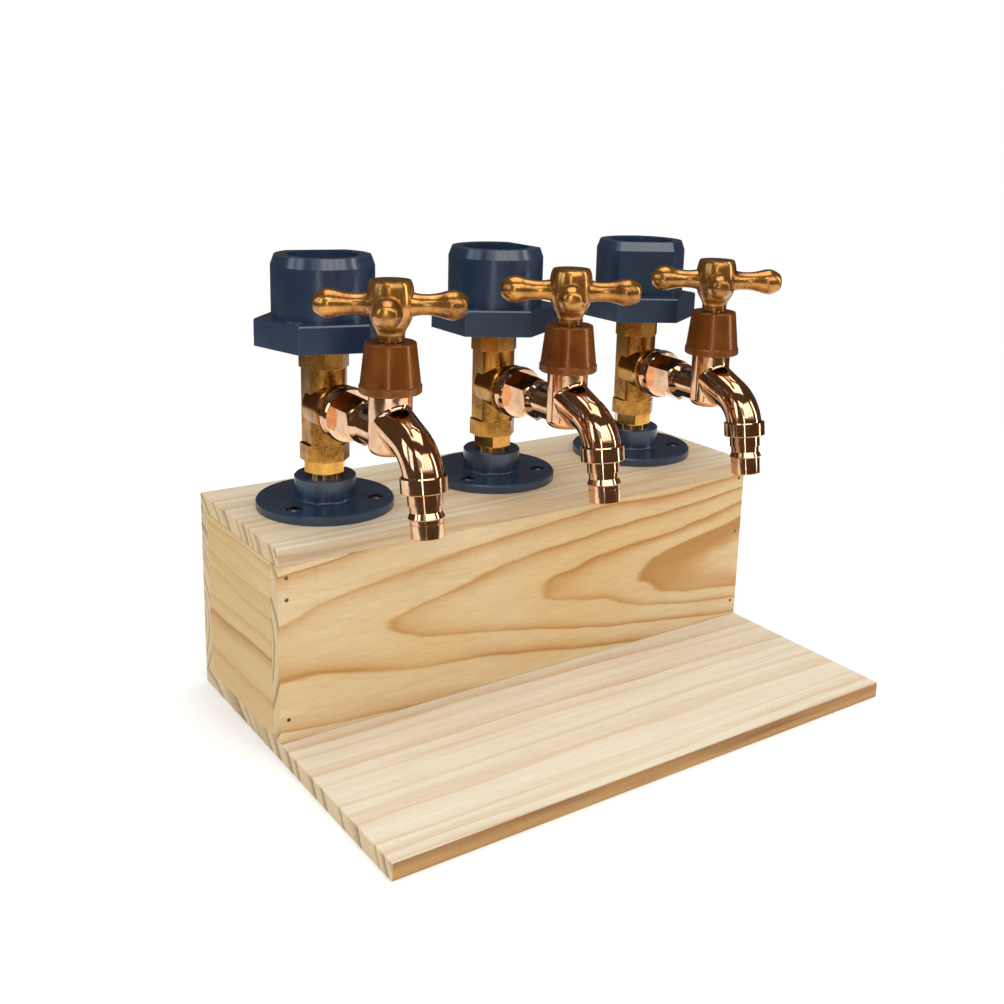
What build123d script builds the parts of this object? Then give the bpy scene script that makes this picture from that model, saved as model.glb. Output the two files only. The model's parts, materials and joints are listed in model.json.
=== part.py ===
from build123d import *
from math import cos, radians, sin, tan
import os

# Countertop drinks dispenser: a pine box with a glass shelf, and three bottle taps on top of it.
# Millimetres. +Z is up, +Y is the back. The origin is the centre of the base board's underside.
os.makedirs("parts", exist_ok=True)

# ---- wooden stand ----
stand_width = 330.0
box_depth = 108.0
shelf_reach = 119.0
panel = 9.5                      # thickness of every board
eased_edge = 0.4
box_height = 108.0               # above the base board
stand_depth = box_depth + shelf_reach
back_face = stand_depth / 2
front_face = back_face - box_depth
box_top = panel + box_height
wall_height = box_height - panel

nail_radius = 0.7
nail_head_radius = 1.1
nail_head_height = 0.8
nail_length = 24.0
nail_x = stand_width / 2 - panel / 2
left_nail_drops = (16.0, 28.0, 95.0)      # below the top of the box
right_nail_drops = (12.0, 49.0, 98.0)

# ---- tap layout ----
# side: (x of the stem, turn of the tap, turn of the bottle socket, turn of the handle), degrees about +Z
tap_pitch = 112.0
stem_y = back_face - box_depth / 2
taps = {
    "left": (-tap_pitch, 0.0, -165.5, -32.0),
    "centre": (0.0, -1.0, 120.0, -36.5),
    "right": (tap_pitch, -4.0, 0.0, -40.0),
}

# ---- flange and its screws; heights are above the top of the box ----
flange_radius = 38.5
flange_thickness = 5.0
hub_radius = 17.2
hub_height = 18.3
hub_floor = 3.0
screw_circle = 28.0
screw_angles = (87.0, 207.0, 327.0)
screw_radius = 1.75
screw_length = 11.0
screw_head_radius = 3.9
screw_head_height = 2.1
screw_slot_length = 4.4          # of the cross recess in the head
screw_slot_width = 1.1
screw_slot_depth = 1.3
screw_slot_turn = 20.0
screw_hole_radius = 2.2
screw_recess_radius = 4.6
screw_recess_depth = 1.6
pilot_depth = 9.0

# ---- half-inch pipe fittings ----
thread_radius = 10.4             # of the half-inch pipe thread
hex_chamfer = 1.0
pipe_bore = 7.0
thread_engagement = 12.0
nipple_flats = 21.5
lower_hex_bottom = 20.5
tee_bottom = 27.3
branch_height = 58.0
tee_top = 2 * branch_height - tee_bottom
tee_radius = 12.6
tee_flat = 11.1
collar_height = 9.3
collar_flats = 25.4
branch_radius = 13.4
branch_end_radius = 14.8
branch_cone_start = 15.0
branch_edge = 0.8
branch_end = 20.5

# ---- bottle socket ----
plate_bottom = 92.0
plate_height = 15.0
plate_flats = 65.0
cup_radius = 28.0
cup_flat = 22.3
cup_top = 140.7
cup_bore = 19.6
cup_chamfer_height = 5.5
cup_chamfer_depth = 2.0
cup_floor = plate_bottom + plate_height
pocket_radius = 18.0
pocket_height = 11.0
seal_height = 10.6
seal_mouth = 14.0
seal_throat = 8.0
seal_step = 3.0
seal_edge = 1.0

# ---- tap body ----
bonnet_reach = 75.0              # from the stem's axis forward to the handle's axis
inlet_start = 8.5                # distances forward of the stem's axis, and radii about the inlet
shoulder_face_radius = 13.0
shoulder_rise_at = 24.0
shoulder_rise_radius = 14.6
shoulder_crown_at = 28.5
shoulder_crown_radius = 15.2
shoulder_fall_at = 31.5
shoulder_fall_radius = 14.2
inlet_hex_flats = 22.0
inlet_hex_end = 49.5
inlet_hex_turning = 1.8           # depth to which its corners are turned off at the end
flare_radius = 10.9
neck_at = 56.0
neck_radius = 9.4
spout_root_height = 66.43        # of the spout's axis where it crosses the handle's axis
spout_root_radius = 11.0
spout_radius = 10.1
spout_dip = 20.0                 # degrees below level, where the spout leaves the body
spout_bore = 6.5
bore_start = 84.5
outlet_radius = 4.5              # of the port from the chamber into the spout's bore
outlet_height = 65.0
outlet_start = 82.0
outlet_end = 87.0
well_radius = 5.0
well_bottom = 52.0
seat_height = 60.0
chamber_radius = 9.0
body_radius = 11.15
body_bottom = 48.4
body_foot_rounding = 4.0
body_top = 86.0
spout_blend = 3.0                # rounding in the corner between body and spout
bend_start = 94.72
bend_radius = 21.0
spout_turn = 61.0                # carries the spout round to 9 degrees short of plumb
spout_thread_radius = 9.7
spout_shoulder = 0.3
spout_end = 2.6

# ---- spout nut and hose tail; stations along the nozzle's axis from the end of the bend ----
nut_radius = 11.75
nut_top = -2.6
nut_bottom = 5.6
nut_lip = 1.2
nut_relief = 10.8
washer_height = 0.8
tail_flange_radius = 9.5
tail_flange_height = nut_bottom - nut_lip - spout_end - washer_height
tail_bore = 6.0
tail_root_radius = 8.7
tail_waist_radius = 8.0
tail_barb_radius = 9.1
tail_end_radius = 8.4
tail_root_end = 11.6
tail_waist_end = 14.8
tail_barb_end = 17.6
tail_line = 20.2
tail_end = 27.8
tail_barb_back = 0.6
tail_edge = 0.5
score_width = 0.4
score_depth = 0.35

# ---- quarter-turn headwork, handle and cover; heights above the top of the box ----
running_gap = 0.06
sleeve_bore = 7.2
sleeve_radius = 8.0
sleeve_top = 74.0
disc_radius = 7.1
disc_height = 3.0
film_gap = 0.05
port_inner = 1.2
port_outer = 5.6
port_half_angle = 40.0
foot_radius = 6.9
foot_height = 3.6
foot_width = 5.0
headwork_flats = 20.0
headwork_hex_height = 6.0
headwork_neck_radius = 7.4
headwork_top = 105.4
window_bottom = 66.4
window_top = 71.8
window_width = 9.0
spindle_radius = 4.0
spindle_top = 127.3
bell_bottom = 80.0
bell_top = 105.6
bell_lip_radius = 15.85
bell_lip_height = 4.3
bell_lip_edge = 0.6
bell_waist_radius = 15.3
bell_top_radius = 12.85
bell_wall = 1.9
bell_ceiling = 2.2
bell_edge = 1.0
bell_hole = 7.4
handle_bottom = 106.2
handle_top = 136.0
hub_waist_radius = 7.1
hub_waist_top = 109.2
hub_throat_radius = 8.8
hub_throat_height = 113.2
hub_belly_radius = 11.0
hub_belly_height = 118.2
hub_radius_at_arms = 11.85
hub_crown_radius = 11.4
hub_crown_height = 131.0
hub_rim_radius = 9.9
arm_height = 124.0
arm_reach = 38.0
arm_start = 6.0                  # stations along an arm from the handle's axis
arm_root_at = 10.0
arm_root_radius = 6.3
arm_neck_at = 18.0
arm_neck_radius = 5.2
arm_taper_at = 25.0
arm_taper_radius = 6.3
arm_ball_centre = 31.2
arm_ball_radius = 7.35
arm_shoulder_at = 36.2
arm_shoulder_radius = 5.2
cap_radius = 8.9
cap_height = 2.4
handle_screw_radius = 2.0
handle_screw_head_radius = 4.4
handle_screw_seat = 127.5
handle_screw_pocket = 4.6
handle_screw_head_height = 2.8
handle_screw_length = 10.0

# ======================================================================= wooden stand
front_plane = Plane(origin=(0, front_face, 0), x_dir=(1, 0, 0), z_dir=(0, -1, 0))
back_plane = Plane(origin=(0, back_face, 0), x_dir=(-1, 0, 0), z_dir=(0, 1, 0))
left_nails = [(-nail_x, box_top - drop) for drop in left_nail_drops]
right_nails = [(nail_x, box_top - drop) for drop in right_nail_drops]
nail_points = left_nails + right_nails
screw_points = [
    (tap_x + screw_circle * cos(radians(angle)), stem_y + screw_circle * sin(radians(angle)))
    for tap_x, _, _, _ in taps.values()
    for angle in screw_angles
]

with BuildPart() as base_board:
    with BuildSketch():
        Rectangle(stand_width, stand_depth)
    extrude(amount=panel)
    chamfer(base_board.edges(), length=eased_edge)

with BuildPart() as front_panel:
    with BuildSketch(front_plane):
        with Locations((0, panel + wall_height / 2)):
            Rectangle(stand_width, wall_height)
    extrude(amount=-panel)
    chamfer(front_panel.edges(), length=eased_edge)
    with BuildSketch(front_plane):
        with Locations(*nail_points):
            Circle(nail_head_radius)
    extrude(amount=-nail_head_height, mode=Mode.SUBTRACT)
    with BuildSketch(front_plane):
        with Locations(*nail_points):
            Circle(nail_radius)
    extrude(amount=-panel, mode=Mode.SUBTRACT)

with BuildPart() as back_panel:
    with BuildSketch(back_plane):
        with Locations((0, panel + wall_height / 2)):
            Rectangle(stand_width, wall_height)
    extrude(amount=-panel)
    chamfer(back_panel.edges(), length=eased_edge)
    with BuildSketch(back_plane):
        with Locations(*nail_points):
            Circle(nail_head_radius)
    extrude(amount=-nail_head_height, mode=Mode.SUBTRACT)
    with BuildSketch(back_plane):
        with Locations(*nail_points):
            Circle(nail_radius)
    extrude(amount=-panel, mode=Mode.SUBTRACT)


def side_panel(outer_x):
    """One end wall, between the front and back panels, drilled for the nails that hold it."""
    inner_x = outer_x - panel if outer_x > 0 else outer_x + panel
    with BuildPart() as side:
        with BuildSketch(Plane.XY.offset(panel)):
            with Locations(((outer_x + inner_x) / 2, (front_face + back_face) / 2)):
                Rectangle(panel, box_depth - 2 * panel)
        extrude(amount=wall_height)
        chamfer(side.edges(), length=eased_edge)
        for face in (front_plane, back_plane):
            with BuildSketch(face.offset(-panel)):
                with Locations(*nail_points):
                    Circle(nail_radius)
            extrude(amount=panel - nail_length, mode=Mode.SUBTRACT)
    return side.part


with BuildPart() as top_panel:
    with BuildSketch(Plane.XY.offset(box_top - panel)):
        with Locations((0, stem_y)):
            Rectangle(stand_width, box_depth)
    extrude(amount=panel)
    chamfer(top_panel.edges(), length=eased_edge)
    with BuildSketch(Plane.XY.offset(box_top)):
        with Locations(*screw_points):
            Circle(screw_radius)
    extrude(amount=-pilot_depth, mode=Mode.SUBTRACT)

with BuildPart() as brad_nails:
    for face in (front_plane, back_plane):
        with BuildSketch(face.offset(-nail_length)):
            with Locations(*nail_points):
                Circle(nail_radius)
        extrude(amount=nail_length)
        with BuildSketch(face.offset(-nail_head_height)):
            with Locations(*nail_points):
                Circle(nail_head_radius)
        extrude(amount=nail_head_height)

screw_seat = box_top + flange_thickness - screw_recess_depth
with BuildPart() as flange_screws:
    with BuildSketch(Plane.XY.offset(screw_seat - screw_length)):
        with Locations(*screw_points):
            Circle(screw_radius)
    extrude(amount=screw_length)
    with BuildSketch(Plane.XY.offset(screw_seat)):
        with Locations(*screw_points):
            Circle(screw_head_radius)
    extrude(amount=screw_head_height)
    head_rims = flange_screws.edges().filter_by(GeomType.CIRCLE).group_by(Axis.Z)[-1]
    fillet(head_rims, radius=1.2)
    tips = flange_screws.edges().filter_by(GeomType.CIRCLE).group_by(Axis.Z)[0]
    chamfer(tips, length=1.2)
    with BuildSketch(Plane.XY.offset(screw_seat + screw_head_height)):
        with Locations(*screw_points):
            Rectangle(screw_slot_length, screw_slot_width, rotation=screw_slot_turn)
            Rectangle(screw_slot_width, screw_slot_length, rotation=screw_slot_turn)
    extrude(amount=-screw_slot_depth, mode=Mode.SUBTRACT)

# ======================================================================= pieces of one tap
# Each is modelled about its own stem: the origin is on the stem's axis at the top of the box,
# and the tap faces -Y. The pieces of the headwork and handle are modelled about the handle's axis.

with BuildPart() as flange:
    with BuildSketch():
        Circle(flange_radius)
    extrude(amount=flange_thickness)
    chamfer(flange.edges().group_by(Axis.Z)[-1], length=0.8)
    with BuildSketch(Plane.XY.offset(flange_thickness)):
        Circle(hub_radius)
    extrude(amount=hub_height - flange_thickness)
    hub_foot = flange.edges().filter_by(GeomType.CIRCLE).filter_by(lambda e: e.radius == hub_radius)
    fillet(hub_foot.sort_by(Axis.Z)[0], radius=1.5)
    chamfer(flange.edges().group_by(Axis.Z)[-1], length=0.8)
    with BuildSketch(Plane.XY.offset(hub_floor)):
        Circle(thread_radius)
    extrude(amount=hub_height, mode=Mode.SUBTRACT)
    with Locations(Plane.XY.offset(flange_thickness)):
        with PolarLocations(screw_circle, len(screw_angles), start_angle=screw_angles[0]):
            CounterBoreHole(screw_hole_radius, screw_recess_radius, screw_recess_depth)


def nipple(bottom, hex_bottom, hex_top, top):
    """A hollow nipple: two plain threaded ends, and a hexagon whose corners are turned off."""
    corner = nipple_flats / 2 / cos(radians(30))
    with BuildPart() as piece:
        with BuildSketch(Plane.XY.offset(hex_bottom)):
            RegularPolygon(nipple_flats / 2, 6, major_radius=False)
        extrude(amount=hex_top - hex_bottom)
        with BuildSketch(Plane.XZ):
            with BuildLine():
                Polyline(
                    (0, hex_bottom),
                    (corner - hex_chamfer, hex_bottom),
                    (corner, hex_bottom + hex_chamfer / 2),
                    (corner, hex_top - hex_chamfer / 2),
                    (corner - hex_chamfer, hex_top),
                    (0, hex_top),
                    close=True,
                )
            make_face()
        revolve(axis=Axis.Z, mode=Mode.INTERSECT)
        with BuildSketch(Plane.XY.offset(bottom)):
            Circle(thread_radius)
        extrude(amount=top - bottom)
        with BuildSketch(Plane.XY.offset(bottom)):
            Circle(pipe_bore)
        extrude(amount=top - bottom, mode=Mode.SUBTRACT)
    return piece.part


lower_nipple = nipple(hub_floor, lower_hex_bottom, tee_bottom, tee_bottom + thread_engagement)
upper_nipple = nipple(tee_top - thread_engagement, tee_top, plate_bottom, plate_bottom + thread_engagement)

# Profiles of the branch and inlet: x runs forward from the stem's axis, y is the radius.
inlet_plane = Plane(origin=(0, 0, branch_height), x_dir=(0, -1, 0), z_dir=(-1, 0, 0))

with BuildPart() as tee:
    with BuildSketch(Plane.XY.offset(tee_bottom)):
        Circle(tee_radius)
    extrude(amount=tee_top - tee_bottom)
    with BuildSketch(Plane.XY.offset(tee_bottom + collar_height)):
        with Locations((tee_flat + tee_radius, 0), (-tee_flat - tee_radius, 0)):
            Rectangle(2 * tee_radius, 2 * tee_radius)
        with Locations((0, tee_flat + tee_radius)):
            Rectangle(2 * tee_radius, 2 * tee_radius)
    extrude(amount=tee_top - tee_bottom - 2 * collar_height, mode=Mode.SUBTRACT)
    with BuildSketch(Plane.XY.offset(tee_bottom), Plane.XY.offset(tee_top - collar_height)):
        RegularPolygon(collar_flats / 2, 8, major_radius=False, rotation=22.5)
    extrude(amount=collar_height)
    with BuildSketch(inlet_plane):
        with BuildLine():
            Polyline(
                (0, 0),
                (0, branch_radius),
                (branch_cone_start, branch_radius),
                (branch_end - branch_edge, branch_end_radius),
                (branch_end, branch_end_radius - branch_edge),
                (branch_end, 0),
                close=True,
            )
        make_face()
    revolve(axis=Axis((0, 0, branch_height), (0, 1, 0)))
    with BuildSketch(Plane.XY.offset(tee_bottom), Plane.XY.offset(tee_top - thread_engagement)):
        Circle(thread_radius)
    extrude(amount=thread_engagement, mode=Mode.SUBTRACT)
    with BuildSketch(Plane.XY.offset(tee_bottom)):
        Circle(pipe_bore)
    extrude(amount=tee_top - tee_bottom, mode=Mode.SUBTRACT)
    with BuildSketch(Plane.XZ.offset(branch_end)):
        with Locations((0, branch_height)):
            Circle(thread_radius)
    extrude(amount=-thread_engagement, mode=Mode.SUBTRACT)
    with BuildSketch(Plane.XZ.offset(branch_end)):
        with Locations((0, branch_height)):
            Circle(pipe_bore)
    extrude(amount=-branch_end, mode=Mode.SUBTRACT)

# The cup is a round boss with one flat side, which lines up with a side of the hexagonal plate.
# Its bore ends on a ledge, and the rubber seal lies in the narrower pocket under it.
with BuildPart() as bottle_socket:
    with BuildSketch(Plane.XY.offset(plate_bottom)):
        RegularPolygon(plate_flats / 2, 6, major_radius=False, rotation=30)
    extrude(amount=plate_height)
    chamfer(bottle_socket.edges().group_by(Axis.Z)[-1], length=0.8)
    with BuildSketch(Plane.XY.offset(cup_floor)):
        Circle(cup_radius)
        with Locations(Location((0, 0, 0), (0, 0, -30))):
            with Locations((0, -cup_flat - cup_radius)):
                Rectangle(3 * cup_radius, 2 * cup_radius, mode=Mode.SUBTRACT)
    extrude(amount=cup_top - cup_floor)
    rim = bottle_socket.faces().sort_by(Axis.Z)[-1]
    chamfer(rim.edges(), length=cup_chamfer_depth, length2=cup_chamfer_height, reference=rim)
    with BuildSketch(Plane.XY.offset(cup_floor)):
        Circle(pocket_radius)
    extrude(amount=pocket_height, mode=Mode.SUBTRACT)
    with BuildSketch(Plane.XY.offset(cup_floor + pocket_height)):
        Circle(cup_bore)
    extrude(amount=cup_top - cup_floor - pocket_height, mode=Mode.SUBTRACT)
    with BuildSketch(Plane.XY.offset(plate_bottom)):
        Circle(thread_radius)
    extrude(amount=thread_engagement, mode=Mode.SUBTRACT)
    with BuildSketch(Plane.XY.offset(plate_bottom)):
        Circle(pipe_bore)
    extrude(amount=plate_height, mode=Mode.SUBTRACT)

# Rubber sleeve at the bottom of the cup, with a throat that stops the mouth of the bottle.
with BuildPart() as bottle_seal:
    with BuildSketch(Plane.XZ):
        with BuildLine():
            Polyline(
                (seal_throat, cup_floor),
                (pocket_radius, cup_floor),
                (pocket_radius, cup_floor + seal_height),
                (seal_mouth + seal_edge, cup_floor + seal_height),
                (seal_mouth, cup_floor + seal_height - seal_edge),
                (seal_mouth, cup_floor + seal_step),
                (seal_throat, cup_floor + seal_step),
                close=True,
            )
        make_face()
    revolve(axis=Axis.Z)

# The spout's axis leaves the body on a slant and bends down to the nozzle.
spout_slope = tan(radians(spout_dip))
bend_height = spout_root_height - (bend_start - bonnet_reach) * spout_slope
bore_height = spout_root_height - (bore_start - bonnet_reach) * spout_slope
with BuildLine(Plane.YZ):
    slant = Line((-bonnet_reach, spout_root_height), (-bend_start, bend_height))
with BuildLine(Plane.YZ) as spout_line:
    bend = JernArc(slant @ 1, slant % 1, bend_radius, spout_turn)
    Line(bend @ 1, bend @ 1 + (bend % 1) * spout_shoulder)
with BuildLine(Plane.YZ) as bore_line:
    bore_slant = Line((-bore_start, bore_height), (-bend_start, bend_height))
    bore_bend = JernArc(bore_slant @ 1, bore_slant % 1, bend_radius, spout_turn)
    Line(bore_bend @ 1, bore_bend @ 1 + (bore_bend % 1) * spout_end)
spout_root_plane = Plane(origin=slant @ 0, x_dir=(1, 0, 0), z_dir=slant % 0)
bore_plane = Plane(origin=bore_slant @ 0, x_dir=(1, 0, 0), z_dir=slant % 0)
bend_plane = Plane(origin=slant @ 1, x_dir=(1, 0, 0), z_dir=slant % 1)
nozzle = Plane(origin=bend @ 1, x_dir=(1, 0, 0), z_dir=bend % 1)

# Inlet, tap body and spout are one casting, and the waterway runs from the inlet up through the
# seat, into the chamber round the headwork, and down the spout.
with BuildPart() as faucet_body:
    with BuildSketch(Plane.XY.offset(body_bottom)):
        with Locations((0, -bonnet_reach)):
            Circle(body_radius)
    extrude(amount=body_top - body_bottom)
    fillet(faucet_body.edges().group_by(Axis.Z)[0], radius=body_foot_rounding)
    with BuildSketch(spout_root_plane):
        Circle(spout_root_radius)
    with BuildSketch(bend_plane):
        Circle(spout_radius)
    loft()
    fillet(faucet_body.edges(Select.LAST).filter_by(GeomType.CIRCLE, reverse=True), radius=spout_blend)
    with BuildSketch(bend_plane):
        Circle(spout_radius)
    sweep(path=spout_line.line)
    with BuildSketch(nozzle):
        Circle(spout_thread_radius)
    extrude(amount=spout_end)
    with BuildSketch(inlet_plane):
        with BuildLine():
            Polyline(
                (inlet_start, 0),
                (inlet_start, thread_radius),
                (branch_end, thread_radius),
                (branch_end, shoulder_face_radius),
                (shoulder_rise_at, shoulder_rise_radius),
            )
            ThreePointArc(
                (shoulder_rise_at, shoulder_rise_radius),
                (shoulder_crown_at, shoulder_crown_radius),
                (shoulder_fall_at, shoulder_fall_radius),
            )
            Polyline(
                (shoulder_fall_at, shoulder_fall_radius),
                (shoulder_fall_at, flare_radius),
                (inlet_hex_end, flare_radius),
            )
            Spline(
                (inlet_hex_end, flare_radius),
                (neck_at, neck_radius),
                tangents=((1, -0.25), (1, 0)),
            )
            Polyline(
                (neck_at, neck_radius),
                (bonnet_reach, neck_radius),
                (bonnet_reach, 0),
                (inlet_start, 0),
            )
        make_face()
    revolve(axis=Axis((0, 0, branch_height), (0, 1, 0)))
    with BuildSketch(Plane.XZ.offset(shoulder_fall_at)):
        with Locations((0, branch_height)):
            RegularPolygon(inlet_hex_flats / 2, 6, major_radius=False, rotation=30)
    extrude(amount=inlet_hex_end - shoulder_fall_at)
    with BuildSketch(inlet_plane):
        with BuildLine():
            Polyline(
                (inlet_hex_end - inlet_hex_turning, inlet_hex_flats / 2 + inlet_hex_turning),
                (inlet_hex_end, inlet_hex_flats / 2 + inlet_hex_turning),
                (inlet_hex_end, inlet_hex_flats / 2),
                close=True,
            )
        make_face()
    revolve(axis=Axis((0, 0, branch_height), (0, 1, 0)), mode=Mode.SUBTRACT)
    with BuildSketch(Plane.XY.offset(seat_height)):
        with Locations((0, -bonnet_reach)):
            Circle(chamber_radius)
    extrude(amount=body_top - seat_height, mode=Mode.SUBTRACT)
    with BuildSketch(Plane.XY.offset(well_bottom)):
        with Locations((0, -bonnet_reach)):
            Circle(well_radius)
    extrude(amount=seat_height - well_bottom, mode=Mode.SUBTRACT)
    with BuildSketch(Plane.XZ):
        with Locations((0, branch_height - 2)):
            Circle(well_radius)
    extrude(amount=bonnet_reach, mode=Mode.SUBTRACT)
    with BuildSketch(Plane.XZ.offset(outlet_start)):
        with Locations((0, outlet_height)):
            Circle(outlet_radius)
    extrude(amount=outlet_end - outlet_start, mode=Mode.SUBTRACT)
    with BuildSketch(bore_plane):
        Circle(spout_bore)
    sweep(path=bore_line.line, mode=Mode.SUBTRACT)

with BuildPart() as spout_nut:
    with BuildSketch(nozzle.offset(nut_top)):
        Circle(nut_radius)
    extrude(amount=nut_bottom - nut_top)
    chamfer(spout_nut.edges().filter_by(GeomType.CIRCLE), length=0.6)
    with BuildSketch(nozzle.offset(nut_top)):
        Circle(nut_relief)
    extrude(amount=spout_shoulder - nut_top, mode=Mode.SUBTRACT)
    with BuildSketch(nozzle.offset(spout_shoulder)):
        Circle(spout_thread_radius)
    extrude(amount=nut_bottom - nut_lip - spout_shoulder, mode=Mode.SUBTRACT)
    with BuildSketch(nozzle.offset(nut_bottom - nut_lip)):
        Circle(tail_root_radius)
    extrude(amount=nut_lip, mode=Mode.SUBTRACT)

with BuildPart() as tail_washer:
    with BuildSketch(nozzle.offset(spout_end)):
        Circle(tail_flange_radius)
        Circle(tail_bore, mode=Mode.SUBTRACT)
    extrude(amount=washer_height)

tail_top = spout_end + washer_height
nozzle_section = Plane(origin=nozzle.origin, x_dir=(1, 0, 0), z_dir=nozzle.y_dir)
with BuildPart() as hose_tail:
    with BuildSketch(nozzle_section):
        with BuildLine():
            Polyline(
                (tail_bore, -tail_top),
                (tail_flange_radius, -tail_top),
                (tail_flange_radius, -tail_top - tail_flange_height),
                (tail_root_radius, -tail_top - tail_flange_height),
                (tail_root_radius, -tail_root_end),
                (tail_waist_radius, -tail_root_end),
                (tail_waist_radius, -tail_waist_end),
                (tail_barb_radius, -tail_barb_end),
                (tail_end_radius, -tail_barb_end - tail_barb_back),
                (tail_end_radius, -tail_line),
                (tail_end_radius - score_depth, -tail_line),
                (tail_end_radius - score_depth, -tail_line - score_width),
                (tail_end_radius, -tail_line - score_width),
                (tail_end_radius, -tail_end + tail_edge),
                (tail_end_radius - tail_edge, -tail_end),
                (tail_bore, -tail_end),
                close=True,
            )
        make_face()
    revolve(axis=Axis(nozzle.origin, nozzle.z_dir))


def ceramic_disc(bottom, height, port_angle):
    """A disc with two sector ports on opposite sides, the first one centred on port_angle."""
    with BuildPart() as disc:
        with BuildSketch(Plane.XY.offset(bottom)):
            Circle(disc_radius)
            for middle in (port_angle, port_angle + 180):
                first = middle - port_half_angle
                last = middle + port_half_angle
                with BuildLine():
                    inner = CenterArc((0, 0), port_inner, first, last - first)
                    outer = CenterArc((0, 0), port_outer, first, last - first)
                    Line(inner @ 0, outer @ 0)
                    Line(inner @ 1, outer @ 1)
                make_face(mode=Mode.SUBTRACT)
        extrude(amount=height)
    return disc.part


# The moving disc's ports stand a quarter turn from the fixed disc's, so the tap is shut.
moving_disc_bottom = seat_height + disc_height + film_gap
foot_bottom = moving_disc_bottom + disc_height
foot_top = foot_bottom + foot_height
fixed_disc = ceramic_disc(seat_height, disc_height, 0)
moving_disc = ceramic_disc(moving_disc_bottom, disc_height, 90)

with BuildPart() as spindle:
    with BuildSketch(Plane.XY.offset(foot_bottom)):
        Circle(foot_radius)
        Rectangle(2 * foot_radius, foot_width, mode=Mode.INTERSECT)
    extrude(amount=foot_height)
    with BuildSketch(Plane.XY.offset(foot_top)):
        Circle(spindle_radius)
    extrude(amount=spindle_top - foot_top)
    with BuildSketch(Plane.XY.offset(spindle_top)):
        Circle(handle_screw_radius)
    extrude(amount=-handle_screw_length, mode=Mode.SUBTRACT)

with BuildPart() as headwork:
    with BuildSketch(Plane.XY.offset(seat_height)):
        Circle(sleeve_radius)
    extrude(amount=sleeve_top - seat_height)
    with BuildSketch(Plane.XY.offset(sleeve_top)):
        Circle(chamber_radius)
    extrude(amount=body_top - sleeve_top)
    with BuildSketch(Plane.XY.offset(body_top)):
        RegularPolygon(headwork_flats / 2, 6, major_radius=False)
    extrude(amount=headwork_hex_height)
    with BuildSketch(Plane.XY.offset(body_top + headwork_hex_height)):
        Circle(headwork_neck_radius)
    extrude(amount=headwork_top - body_top - headwork_hex_height)
    with BuildSketch(Plane.XY.offset(seat_height)):
        Circle(sleeve_bore)
    extrude(amount=foot_top + running_gap - seat_height, mode=Mode.SUBTRACT)
    with BuildSketch(Plane.XY.offset(seat_height)):
        Circle(spindle_radius + running_gap)
    extrude(amount=headwork_top - seat_height, mode=Mode.SUBTRACT)
    with BuildSketch(Plane.XY.offset(window_bottom)):
        with Locations((sleeve_radius, 0), (-sleeve_radius, 0)):
            Rectangle(sleeve_radius, window_width)
    extrude(amount=window_top - window_bottom, mode=Mode.SUBTRACT)

with BuildPart() as bonnet_cover:
    with BuildSketch(Plane.XZ):
        with BuildLine():
            Polyline(
                (bell_lip_radius - bell_wall, bell_bottom),
                (bell_lip_radius - bell_lip_edge, bell_bottom),
                (bell_lip_radius, bell_bottom + bell_lip_edge),
                (bell_lip_radius, bell_bottom + bell_lip_height - bell_lip_edge),
                (bell_waist_radius, bell_bottom + bell_lip_height),
                (bell_top_radius, bell_top),
                (bell_hole, bell_top),
                (bell_hole, bell_top - bell_ceiling),
                (bell_top_radius - bell_wall, bell_top - bell_ceiling),
                close=True,
            )
        make_face()
    revolve(axis=Axis.Z)
    shoulder = bonnet_cover.edges().filter_by(GeomType.CIRCLE).group_by(Axis.Z)[-1]
    fillet(shoulder.sort_by(SortBy.RADIUS)[-1], radius=bell_edge)

with BuildPart() as cross_handle:
    with BuildSketch(Plane.XZ):
        with BuildLine():
            Polyline(
                (0, handle_top),
                (0, handle_bottom),
                (hub_waist_radius, handle_bottom),
                (hub_waist_radius, hub_waist_top),
            )
            Spline(
                (hub_waist_radius, hub_waist_top),
                (hub_throat_radius, hub_throat_height),
                (hub_belly_radius, hub_belly_height),
                (hub_radius_at_arms, arm_height),
                (hub_crown_radius, hub_crown_height),
                (hub_rim_radius, handle_top),
                tangents=((0.1, 1), (-0.75, 1)),
            )
            Line((hub_rim_radius, handle_top), (0, handle_top))
        make_face()
    revolve(axis=Axis.Z)
    for quarter in range(4):
        along = (cos(radians(90 * quarter)), sin(radians(90 * quarter)), 0)
        across = (along[1], -along[0], 0)
        arm_origin = (0, 0, arm_height)
        with BuildSketch(Plane(origin=arm_origin, x_dir=along, z_dir=across)):
            with BuildLine():
                Polyline(
                    (arm_reach, 0),
                    (arm_start, 0),
                    (arm_start, arm_root_radius),
                    (arm_root_at, arm_root_radius),
                )
                Spline(
                    (arm_root_at, arm_root_radius),
                    (arm_neck_at, arm_neck_radius),
                    (arm_taper_at, arm_taper_radius),
                    (arm_ball_centre, arm_ball_radius),
                    (arm_shoulder_at, arm_shoulder_radius),
                    (arm_reach, 0),
                    tangents=((1, -0.35), (0, -1)),
                )
            make_face()
        revolve(axis=Axis(arm_origin, along))
    with BuildSketch(Plane.XY.offset(handle_bottom)):
        Circle(spindle_radius)
    extrude(amount=handle_top - handle_bottom, mode=Mode.SUBTRACT)
    with BuildSketch(Plane.XY.offset(handle_screw_seat)):
        Circle(handle_screw_pocket)
    extrude(amount=handle_top - handle_screw_seat, mode=Mode.SUBTRACT)
    with BuildSketch(Plane.XY.offset(handle_top - cap_height)):
        Circle(cap_radius)
    extrude(amount=cap_height, mode=Mode.SUBTRACT)

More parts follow.
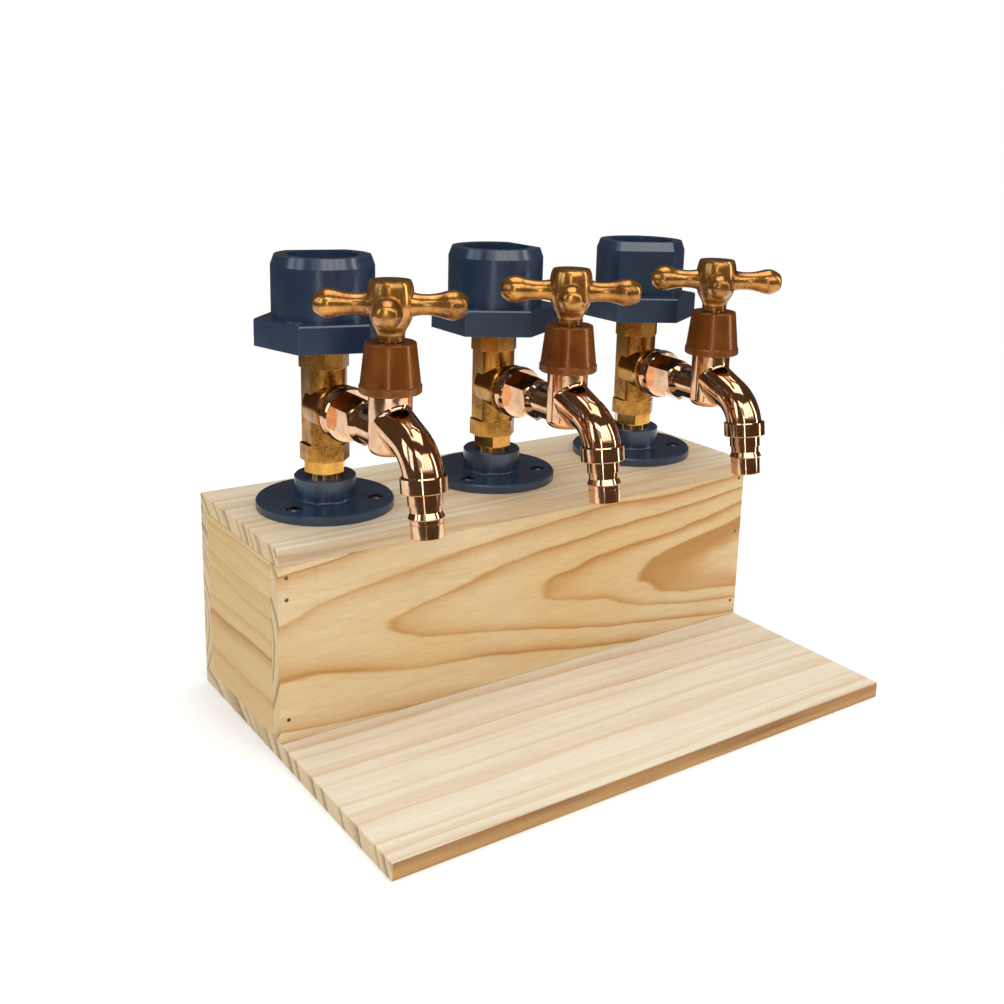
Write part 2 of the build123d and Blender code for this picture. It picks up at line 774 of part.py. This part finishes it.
with BuildPart() as handle_cap:
    with BuildSketch(Plane.XY.offset(handle_top - cap_height)):
        Circle(cap_radius)
    extrude(amount=cap_height)
    chamfer(handle_cap.edges().group_by(Axis.Z)[-1], length=0.5)

with BuildPart() as handle_screw:
    with BuildSketch(Plane.XY.offset(handle_screw_seat - handle_screw_length)):
        Circle(handle_screw_radius)
    extrude(amount=handle_screw_length)
    with BuildSketch(Plane.XY.offset(handle_screw_seat)):
        Circle(handle_screw_head_radius)
    extrude(amount=handle_screw_head_height)
    fillet(handle_screw.edges().group_by(Axis.Z)[-1], radius=1.2)

# ======================================================================= writing the pieces
stand_pieces = {
    "base_board": base_board.part,
    "front_panel": front_panel.part,
    "back_panel": back_panel.part,
    "left_side_panel": side_panel(-stand_width / 2),
    "right_side_panel": side_panel(stand_width / 2),
    "top_panel": top_panel.part,
    "brad_nails": brad_nails.part,
    "flange_screws": flange_screws.part,
}
stem_pieces = {
    "flange": flange.part,
    "lower_nipple": lower_nipple,
    "upper_nipple": upper_nipple,
}
socket_pieces = {
    "bottle_socket": bottle_socket.part,
    "bottle_seal": bottle_seal.part,
}
tap_pieces = {
    "tee": tee.part,
    "faucet_body": faucet_body.part,
    "spout_nut": spout_nut.part,
    "hose_tail": hose_tail.part,
}
headwork_pieces = {
    "headwork": headwork.part,
    "bonnet_cover": bonnet_cover.part,
    "fixed_disc": fixed_disc,
    "moving_disc": moving_disc,
    "spindle": spindle.part,
}
handle_pieces = {
    "cross_handle": cross_handle.part,
    "handle_cap": handle_cap.part,
    "handle_screw": handle_screw.part,
}


def write(name, piece):
    """Label a finished piece and write it as its own file."""
    piece.label = name
    export_step(piece, f"parts/{name}.step")


def turned(degrees):
    """A turn about the vertical axis."""
    return Location((0, 0, 0), (0, 0, degrees))


for name, piece in stand_pieces.items():
    write(name, piece)

washers = []
for side, (tap_x, tap_turn, socket_turn, handle_turn) in taps.items():
    stem = Location((tap_x, stem_y, box_top))
    tap = stem * turned(tap_turn)
    bonnet = tap * Location((0, -bonnet_reach, 0))
    groups = (
        (stem, stem_pieces),
        (stem * turned(socket_turn), socket_pieces),
        (tap, tap_pieces),
        (bonnet, headwork_pieces),
        (bonnet * turned(handle_turn - tap_turn), handle_pieces),
    )
    for place, pieces in groups:
        for name, piece in pieces.items():
            write(f"{side}_{name}", piece.moved(place))
    washers.append(tail_washer.part.moved(tap))

write("tail_washers", Compound(children=washers))
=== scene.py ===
import json
import math

import bpy
from mathutils import Matrix, Vector


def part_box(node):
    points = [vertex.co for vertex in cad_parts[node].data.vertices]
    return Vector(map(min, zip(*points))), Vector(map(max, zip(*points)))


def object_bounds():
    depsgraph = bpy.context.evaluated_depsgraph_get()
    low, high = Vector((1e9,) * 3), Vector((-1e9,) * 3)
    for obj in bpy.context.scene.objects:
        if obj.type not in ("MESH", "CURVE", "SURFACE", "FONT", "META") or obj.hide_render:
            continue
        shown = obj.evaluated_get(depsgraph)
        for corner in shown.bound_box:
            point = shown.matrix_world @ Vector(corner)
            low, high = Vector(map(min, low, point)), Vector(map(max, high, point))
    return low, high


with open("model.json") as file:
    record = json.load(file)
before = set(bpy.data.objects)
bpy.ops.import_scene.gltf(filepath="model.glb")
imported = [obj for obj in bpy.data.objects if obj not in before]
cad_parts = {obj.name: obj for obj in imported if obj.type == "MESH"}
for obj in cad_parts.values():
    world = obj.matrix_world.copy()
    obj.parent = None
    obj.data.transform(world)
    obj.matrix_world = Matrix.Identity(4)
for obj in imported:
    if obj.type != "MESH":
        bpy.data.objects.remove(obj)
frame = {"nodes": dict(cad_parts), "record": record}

# A pine bottle dispenser with three taps. Metres; +Z is up, +Y is the back.
cad_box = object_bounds()


# ---------------------------------------------------------------------------- node helpers
def srgb(red, green, blue):
    """A colour named by its 0 to 255 display values, as the linear RGBA that shaders take."""
    def linear(value):
        value /= 255
        return value / 12.92 if value <= 0.04045 else ((value + 0.055) / 1.055) ** 2.4
    return (linear(red), linear(green), linear(blue), 1.0)


def put(tree, socket, value):
    """Links another node's output to the socket, or gives the socket a plain value."""
    if isinstance(value, bpy.types.NodeSocket):
        tree.links.new(value, socket)
    else:
        socket.default_value = value


def add_node(tree, kind, inputs=(), output=0, **settings):
    """Adds a node with these settings and inputs, and returns one of its outputs."""
    node = tree.nodes.new(kind)
    for key, value in settings.items():
        setattr(node, key, value)
    for key, value in dict(inputs).items():
        put(tree, node.inputs[key], value)
    return node.outputs[output]


class Finish:
    """A node material under construction. Every input is a plain value or another node's output."""

    def __init__(self, name):
        self.material = bpy.data.materials.new(name)
        self.material.use_nodes = True
        self.tree = self.material.node_tree
        self.shader = self.tree.nodes["Principled BSDF"]
        self.place = self.add("ShaderNodeTexCoord", output="Object")

    def add(self, kind, inputs=(), output=0, **settings):
        return add_node(self.tree, kind, inputs, output, **settings)

    def set(self, **values):
        """Puts values on the shader's sockets; Base_Color stands for Base Color."""
        for key, value in values.items():
            put(self.tree, self.shader.inputs[key.replace("_", " ")], value)

    def calc(self, operation, first, second=0.0, clamp=False):
        return self.add("ShaderNodeMath", {0: first, 1: second}, operation=operation, use_clamp=clamp)

    def vector(self, operation, first, second, output=0):
        return self.add("ShaderNodeVectorMath", {0: first, 1: second}, output, operation=operation)

    def scaled(self, vector, factor):
        return self.add("ShaderNodeVectorMath", {0: vector, "Scale": factor}, operation="SCALE")

    def remap(self, value, low, high, to_low=0.0, to_high=1.0):
        """Value from low..high to to_low..to_high, held at the ends."""
        return self.add("ShaderNodeMapRange", {0: value, 1: low, 2: high, 3: to_low, 4: to_high})

    def stretch(self, scale, vector=None, turn=(0, 0, 0), shift=(0, 0, 0)):
        """The vector, or the place on the object, turned, shifted and scaled along each axis."""
        source = self.place if vector is None else vector
        return self.add("ShaderNodeMapping",
                        {"Vector": source, "Location": shift, "Rotation": turn, "Scale": scale})

    def noise(self, vector, scale=1.0, detail=3.0, rough=0.5, output="Fac"):
        return self.add("ShaderNodeTexNoise", {"Vector": vector, "Scale": scale, "Detail": detail,
                                               "Roughness": rough}, output=output)

    def mix(self, factor, first, second):
        """The colour first where factor is 0, second where it is 1."""
        return self.add("ShaderNodeMix", {0: factor, 6: first, 7: second}, output=2,
                        data_type="RGBA")

    def ramp(self, factor, stops):
        """The colour at factor along the stops, which are (position, colour)."""
        node = self.tree.nodes.new("ShaderNodeValToRGB")
        put(self.tree, node.inputs[0], factor)
        elements = node.color_ramp.elements
        while len(elements) < len(stops):
            elements.new(0.5)
        for element, (position, colour) in zip(elements, stops):
            element.position = position
            element.color = colour
        return node.outputs[0]

    def bump(self, height, distance, strength=1.0):
        """Raises the surface by height times distance, in metres, in its shading only."""
        self.set(Normal=self.add("ShaderNodeBump", {"Height": height, "Distance": distance,
                                                    "Strength": strength}))

    def edges(self, radius, low=0.02, high=0.25):
        """1 within radius of an edge, 0 on open faces."""
        rounded = self.add("ShaderNodeBevel", {"Radius": radius}, samples=4)
        plain = self.add("ShaderNodeNewGeometry", output="Normal")
        agreement = self.vector("DOT_PRODUCT", rounded, plain, "Value")
        return self.remap(self.calc("SUBTRACT", 1.0, agreement), low, high)

    def facing(self, axis):
        """1 where the surface looks along axis or against it, 0 where it looks across."""
        normal = self.add("ShaderNodeTexCoord", output="Normal")
        return self.calc("ABSOLUTE", self.vector("DOT_PRODUCT", normal, axis, "Value"))


# ---------------------------------------------------------------------------- wood
CREAM = srgb(220, 210, 188)
HONEY = srgb(204, 172, 116)
TAN = srgb(186, 138, 74)
UMBER = srgb(150, 100, 48)
RESIN = srgb(140, 100, 60)
# Browns for the front and back faces: partly the sawn edges' own tone, partly painted shade.
SAWN_AND_SHADE_PALE = srgb(170, 130, 78)
SAWN_AND_SHADE_DARK = srgb(130, 88, 46)
END_SPRING = srgb(208, 180, 132)
END_SUMMER = srgb(132, 96, 56)
END_PORE = srgb(120, 98, 70)
CENTRE = (0.5, 0.5, 0.5)          # the mean of a noise colour
RIPPLE = 0.0035                   # how far, in metres, small waves move the rings


def grey(level):
    return (level, level, level, 1)


# How dark the wood is through one year's growth: pale spring wood, then dark summer wood.
YEAR = [(0.0, grey(0.10)), (0.12, grey(0)), (0.45, grey(0.06)), (0.80, grey(0.62)), (0.93, grey(1)),
        (1.0, grey(0.25))]


def pine(name, pith, tilt, ring, warp, contrast, turn=0.0, warmth_and_shade=0.0, sawn_and_shade=0.0):
    """Solid pine: growth rings round a log's axis, shown where the board's faces cut them.

    The log's axis is X, or Y where turn is a quarter turn, tilted a little about Y and Z. pith is
    where the axis passes, (across, up) as the turned and tilted log measures it. ring is the width
    of a year's growth, and warp is how far the rings wander, both in metres. contrast darkens the
    rings and warmth_and_shade the wood between them, which on the left side panel is partly
    painted shade. sawn_and_shade darkens the faces towards the front and back, which are the sawn
    edges of a board that lies flat: partly their own browner tone, partly painted shade.
    """
    wood = Finish(name)
    log = wood.stretch((1, 1, 1), turn=(0, 0, turn))
    log = wood.stretch((1, 1, 1), log, turn=(0, tilt[0], tilt[1]), shift=(0, -pith[0], -pith[1]))

    # Rings: distance from the pith, disturbed, counted in years.
    drift = wood.noise(wood.stretch((3.2, 13, 13), log), detail=2.0, rough=0.45, output="Color")
    drift = wood.scaled(wood.vector("SUBTRACT", drift, CENTRE), warp)
    ripple = wood.noise(wood.stretch((16, 60, 60), log), detail=3.0, output="Color")
    bent = wood.vector("ADD", wood.vector("ADD", log, drift), wood.scaled(ripple, RIPPLE))
    across = wood.vector("MULTIPLY", bent, (0, 1, 1))
    radius = wood.add("ShaderNodeVectorMath", {0: across}, "Value", operation="LENGTH")
    years = wood.calc("DIVIDE", radius, ring)
    pace = wood.add("ShaderNodeTexNoise", {"W": years, "Scale": 0.55, "Detail": 1.0},
                    noise_dimensions="1D")
    years = wood.calc("ADD", years, wood.calc("MULTIPLY", pace, 2.2))
    season = wood.calc("FRACT", years)
    summer = wood.ramp(season, YEAR)

    # Some years are darker than others, and every ring fades in places.
    strength = wood.add("ShaderNodeTexWhiteNoise", {"W": wood.calc("FLOOR", years)}, "Value",
                        noise_dimensions="1D")
    patch = wood.noise(wood.stretch((5, 26, 26), log), detail=2.0)
    strength = wood.calc("MULTIPLY", wood.remap(strength, 0, 1, 0.45, 1.0),
                         wood.remap(patch, 0.3, 0.7, 0.55, 1.15))
    late = wood.calc("MULTIPLY", summer, wood.calc("MULTIPLY", strength, contrast), clamp=True)

    # Everything finer lies along the grain.
    fibre = wood.noise(wood.stretch((14, 900, 900), log), detail=4.0, rough=0.6)
    streak = wood.noise(wood.stretch((7, 150, 150), log), detail=3.0)
    dashes = wood.noise(wood.stretch((150, 1300, 1300), log), detail=1.0)
    cloud = wood.noise(wood.stretch((4, 9, 9), log), detail=2.0)

    colour = wood.mix(wood.remap(cloud, 0.35, 0.7, warmth_and_shade, warmth_and_shade + 0.55), CREAM, HONEY)
    colour = wood.mix(late, colour, TAN)
    darkest = wood.calc("MULTIPLY", wood.calc("POWER", late, 3.0), 0.45, clamp=True)
    colour = wood.mix(darkest, colour, UMBER)
    colour = wood.mix(wood.remap(streak, 0.45, 0.75, 0.0, 0.22), colour, TAN)
    colour = wood.mix(wood.remap(fibre, 0.35, 0.75, 0.0, 0.20), colour, UMBER)
    colour = wood.mix(wood.calc("MULTIPLY", wood.remap(dashes, 0.70, 0.80), 0.35), colour, RESIN)

    # Front and back faces darker: partly the sawn edges' own browner tone, partly painted shade.
    if sawn_and_shade:
        sawn_and_shade_mask = wood.remap(wood.facing((0, 1, 0)), 0.6, 0.9, 0.0, sawn_and_shade)
        sawn_and_shade_tone = wood.mix(wood.remap(streak, 0.4, 0.65), SAWN_AND_SHADE_PALE, SAWN_AND_SHADE_DARK)
        colour = wood.mix(sawn_and_shade_mask, colour, sawn_and_shade_tone)
    end = wood.remap(wood.facing((0, 1, 0) if turn else (1, 0, 0)), 0.6, 0.9)
    ends = wood.mix(wood.remap(season, 0.55, 0.95), END_SPRING, END_SUMMER)
    pores = wood.noise(wood.stretch((1, 1600, 1600), log), detail=2.0)
    ends = wood.mix(wood.remap(pores, 0.45, 0.7, 0.0, 0.45), ends, END_PORE)
    colour = wood.mix(wood.calc("MULTIPLY", end, 0.85), colour, ends)

    relief = wood.calc("ADD", wood.calc("MULTIPLY", late, 0.5), wood.calc("MULTIPLY", fibre, 0.8))
    wood.set(Base_Color=colour, Roughness=wood.remap(fibre, 0.3, 0.7, 0.52, 0.66),
             Specular_IOR_Level=0.35)
    wood.bump(relief, 0.00008, 0.9)
    return wood.material


# ---------------------------------------------------------------------------- metals and plastics
def slate_plastic():
    """Moulded slate-blue plastic, paler at its edges: partly rubbed, partly a painted highlight."""
    paint = Finish("slate_plastic")
    cloud = paint.noise(paint.place, 30.0, 1.0)
    grain = paint.noise(paint.place, 1500.0, 2.0)
    colour = paint.mix(paint.remap(cloud, 0.2, 0.8), srgb(24, 41, 61), srgb(33, 54, 77))
    # Paler edges: partly rubbing, partly a painted highlight along the edges.
    rubbed_and_highlit = paint.edges(0.0006)
    colour = paint.mix(paint.calc("MULTIPLY", rubbed_and_highlit, 0.5), colour, srgb(92, 114, 140))
    paint.set(Base_Color=colour, Roughness=paint.remap(cloud, 0.2, 0.8, 0.20, 0.28),
              Specular_IOR_Level=0.8)
    paint.bump(grain, 0.00001, 0.2)
    return paint.material


def brass(name, turned):
    """Aged brass. turned: lathe marks round the fitting; otherwise the skin of a casting."""
    metal = Finish(name)
    tarnish = metal.noise(metal.place, 70.0, 5.0, 0.6)
    spots = metal.noise(metal.place, 420.0, 3.0)
    stain = metal.calc("MULTIPLY", metal.remap(tarnish, 0.35, 0.68),
                       metal.remap(spots, 0.35, 0.75, 0.6, 1.1), clamp=True)
    if turned:
        colour = metal.mix(stain, srgb(222, 166, 82), srgb(160, 104, 44))
    else:
        colour = metal.mix(stain, srgb(190, 136, 64), srgb(112, 70, 28))
    # Paler edges: partly tarnish rubbed off, partly a painted highlight along the edges.
    rubbed_and_highlit = metal.edges(0.0006)
    colour = metal.mix(metal.calc("MULTIPLY", rubbed_and_highlit, 0.5), colour, srgb(246, 208, 132))
    if turned:
        marks = metal.noise(metal.stretch((30, 30, 5200)), detail=3.0)
        metal.bump(marks, 0.000015, 0.5)
        rough = metal.remap(stain, 0, 1, 0.10, 0.22)
    else:
        skin = metal.noise(metal.place, 800.0, 4.0)
        metal.bump(skin, 0.00003, 0.5)
        rough = metal.remap(stain, 0, 1, 0.18, 0.32)
    metal.set(Base_Color=colour, Metallic=1.0, Roughness=rough)
    return metal.material


def rose_gold():
    """Polished plate over a casting, so the mirror is not quite even."""
    metal = Finish("rose_gold")
    smear = metal.noise(metal.place, 90.0, 4.0, 0.6)
    wave = metal.noise(metal.place, 160.0, 2.0)
    colour = metal.mix(metal.remap(smear, 0.35, 0.7), srgb(236, 196, 160), srgb(206, 154, 112))
    metal.set(Base_Color=colour, Metallic=1.0, Roughness=metal.remap(smear, 0.3, 0.7, 0.05, 0.13))
    metal.bump(wave, 0.00012, 0.35)
    return metal.material


def copper_enamel():
    """Copper-brown enamel with fine flake, under a clear coat, with painted highlights along its
    edges.
    """
    paint = Finish("copper_enamel")
    cloud = paint.noise(paint.place, 60.0, 3.0)
    flake = paint.noise(paint.place, 4200.0, 2.0)
    colour = paint.mix(paint.remap(cloud, 0.35, 0.65), srgb(112, 56, 4), srgb(132, 72, 8))
    colour = paint.mix(paint.remap(flake, 0.55, 0.75, 0.0, 0.35), colour, srgb(214, 140, 70))
    # Paler edges are painted highlights: the bright lines along the bell's lip and top edge.
    colour = paint.mix(paint.calc("MULTIPLY", paint.edges(0.0008), 0.5), colour, srgb(232, 160, 96))
    paint.set(Base_Color=colour, Metallic=0.55, Roughness=paint.remap(cloud, 0.3, 0.7, 0.26, 0.36),
              Coat_Weight=0.30, Coat_Roughness=0.10)
    paint.bump(flake, 0.00001, 0.3)
    return paint.material


def bronze(name, light, dark, smooth):
    """Pearl bronze lacquer: bright flake, partly painted glints, over a light ground with broad
    patches of dark patina.
    """
    paint = Finish(name)
    patina = paint.noise(paint.place, 95.0, 5.0, 0.62)
    flake = paint.noise(paint.place, 1500.0, 4.0, 0.65)
    colour = paint.mix(paint.remap(patina, 0.38, 0.66), light, dark)
    # The flake's bright colour is partly the pearl's own and partly painted glints.
    colour = paint.mix(paint.remap(flake, 0.52, 0.72, 0.0, 0.45), colour, srgb(248, 212, 142))
    rough = paint.remap(patina, 0.3, 0.7, smooth, smooth + 0.12)
    paint.set(Base_Color=colour, Metallic=0.85, Roughness=rough, Coat_Weight=0.35,
              Coat_Roughness=0.12)
    paint.bump(flake, 0.00003, 0.35)
    return paint.material


def simple(name, first, second, rough, metallic, scale, relief=0.00002):
    """A small or hidden piece: two close colours in fine mottling, with matching roughness."""
    skin = Finish(name)
    mottle = skin.noise(skin.place, scale, 3.0)
    skin.set(Base_Color=skin.mix(skin.remap(mottle, 0.35, 0.65), first, second), Metallic=metallic,
             Roughness=skin.remap(mottle, 0.3, 0.7, rough, rough + 0.12))
    skin.bump(mottle, relief, 0.5)
    return skin.material


# A finish is for one node, for one kind of piece on every tap, or for a whole material slot.
QUARTER = math.pi / 2
front_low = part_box("front_panel")[0]
finishes = {
    "base_board": pine("pine_base", (0.150, -0.120), (0.010, 0.012), 0.0120, 0.018, 0.55, warmth_and_shade=-0.40,
                       sawn_and_shade=1.0),
    "top_panel": pine("pine_top", (0.230, -0.040), (0.012, -0.016), 0.0100, 0.016, 0.95, warmth_and_shade=0.0,
                      sawn_and_shade=0.45),
    "front_panel": pine("pine_front", (front_low.y + 0.056, front_low.z + 0.050), (0.0, 0.080),
                        0.0078, 0.026, 1.50, warmth_and_shade=0.45),
    "back_panel": pine("pine_back", (0.165, 0.040), (0.01, -0.06), 0.0060, 0.018, 0.8),
    # The left side panel is warmer and darker than the others: partly its own tone, partly painted
    # shade on that side.
    "left_side_panel": pine("pine_left", (0.060, -0.010), (0.05, 0.03), 0.0066, 0.016, 1.45,
                            turn=-QUARTER, warmth_and_shade=0.65),
    "right_side_panel": pine("pine_right", (-0.060, 0.030), (0.04, -0.03), 0.0058, 0.014, 0.7,
                             turn=-QUARTER, warmth_and_shade=0.1),
    "slate_plastic": slate_plastic(),
    "brass": brass("brass_turned", True),
    "tee": brass("brass_cast", False),
    "rose_gold": rose_gold(),
    "copper_enamel": copper_enamel(),
    "bronze": bronze("bronze", srgb(198, 138, 60), srgb(112, 60, 16), 0.18),
    "bronze_dark": bronze("bronze_dark", srgb(140, 104, 52), srgb(84, 66, 34), 0.30),
    "black_steel": simple("black_steel", srgb(70, 70, 74), srgb(104, 104, 108), 0.16, 1.0, 900.0),
    "nail_steel": simple("nail_steel", srgb(70, 66, 62), srgb(110, 104, 98), 0.30, 1.0, 900.0),
    "rubber": simple("rubber", srgb(20, 20, 21), srgb(34, 34, 35), 0.55, 0.0, 600.0),
    "ceramic": simple("ceramic", srgb(236, 234, 228), srgb(224, 220, 212), 0.12, 0.0, 400.0),
}

for subpart in frame["record"]["subparts"]:
    node = subpart["node"]
    kind = node.split("_", 1)[1]
    finish = finishes.get(node) or finishes.get(kind) or finishes[subpart["material_slot"]]
    mesh = frame["nodes"][node].data
    mesh.materials.clear()
    mesh.materials.append(finish)


# ---------------------------------------------------------------------------- floor and room
def link(item, name):
    """A scene object of this name for a mesh, lamp or camera."""
    piece = bpy.data.objects.new(name, item)
    bpy.context.scene.collection.objects.link(piece)
    return piece


floor_half = 0.8
floor_mesh = bpy.data.meshes.new("floor")
corners = [(x * floor_half, y * floor_half, 0) for x, y in ((-1, -1), (1, -1), (1, 1), (-1, 1))]
floor_mesh.from_pydata(corners, [], [(0, 1, 2, 3)])
floor_mesh.materials.append(simple("floor", srgb(250, 250, 250), srgb(247, 247, 247), 0.7, 0.0,
                                   3.0, relief=0.0))
floor = link(floor_mesh, "floor")

scene = bpy.context.scene
scene.view_settings.view_transform = "Standard"

# The room: white to the camera, soft grey to diffuse light, and darker between the lamps to mirrors.
world = bpy.data.worlds.new("room")
scene.world = world
world.use_nodes = True
room = world.node_tree
room.nodes.clear()


def backdrop(colour, strength):
    return add_node(room, "ShaderNodeBackground", {"Color": colour, "Strength": strength})


def choose(ray, other, chosen):
    """Shows chosen to rays of this kind and other to the rest."""
    rays = room.nodes.new("ShaderNodeLightPath")
    return add_node(room, "ShaderNodeMixShader", {0: rays.outputs[ray], 1: other, 2: chosen})


WHITE = (1, 1, 1, 1)
indoors = choose("Is Glossy Ray", backdrop(WHITE, 0.62), backdrop(srgb(176, 146, 122), 0.20))
room_end = room.nodes.new("ShaderNodeOutputWorld")
put(room, room_end.inputs["Surface"], choose("Is Camera Ray", indoors, backdrop(WHITE, 1.0)))


# ---------------------------------------------------------------------------- lamps
middle = (cad_box[0] + cad_box[1]) / 2


def softbox(name, place, size, power, colour=(1, 1, 1)):
    """A rectangular lamp of size (width, height) and power in watts, facing the object's middle."""
    light = bpy.data.lights.new(name, "AREA")
    light.shape = "RECTANGLE"
    light.size, light.size_y = size
    light.energy = power
    light.color = colour
    lamp = link(light, name)
    lamp.location = place
    lamp.rotation_euler = (middle - Vector(place)).to_track_quat("-Z", "Y").to_euler()


# One broad lamp lights everything from above. The windows' panes and the strips are narrow, so
# polished pieces mirror them as separate bars.
softbox("ceiling", (0.1, 0.2, 2.4), (1.8, 1.8), 26)
softbox("window_high", (-1.3, -1.3, 1.9), (1.0, 0.5), 5)
softbox("wall_front", (-0.3, -1.8, 1.3), (3.4, 1.0), 4)
for pane, x in enumerate((-0.75, -0.30, 0.15, 0.60)):
    softbox(f"window_front_{pane}", (x, -1.5, 1.25), (0.34, 0.9), 2.6)
for pane, y in enumerate((-0.15, 0.40)):
    softbox(f"window_left_{pane}", (-1.5, y, 0.75), (0.36, 0.8), 2.4, (0.70, 0.88, 1.0))
softbox("strip_front", (-0.95, -1.15, 0.40), (0.10, 0.7), 1.2)
softbox("strip_right", (1.1, -0.9, 0.6), (0.16, 1.2), 4)


# ---------------------------------------------------------------------------- camera
# It stands in front, to the left and above, and looks slightly down. Yaw turns the view to the
# right of +Y, pitch turns it down, and roll turns the camera about the view.
EYE = (-0.3882, -0.5144, 0.3295)
yaw, pitch, roll = (math.radians(angle) for angle in (34.55, 13.35, 1.44))
forward = Vector((math.sin(yaw) * math.cos(pitch), math.cos(yaw) * math.cos(pitch),
                  -math.sin(pitch)))
level = Vector((math.cos(yaw), -math.sin(yaw), 0))
upward = level.cross(forward)
right = level * math.cos(roll) + upward * math.sin(roll)
up = upward * math.cos(roll) - level * math.sin(roll)
view = bpy.data.cameras.new("camera")
view.sensor_width = 36
view.lens = 42.085
view.shift_y = -0.1016
camera = link(view, "camera")
aim = Matrix((right, up, -forward)).transposed().to_4x4()
camera.matrix_world = Matrix.Translation(EYE) @ aim
scene.camera = camera
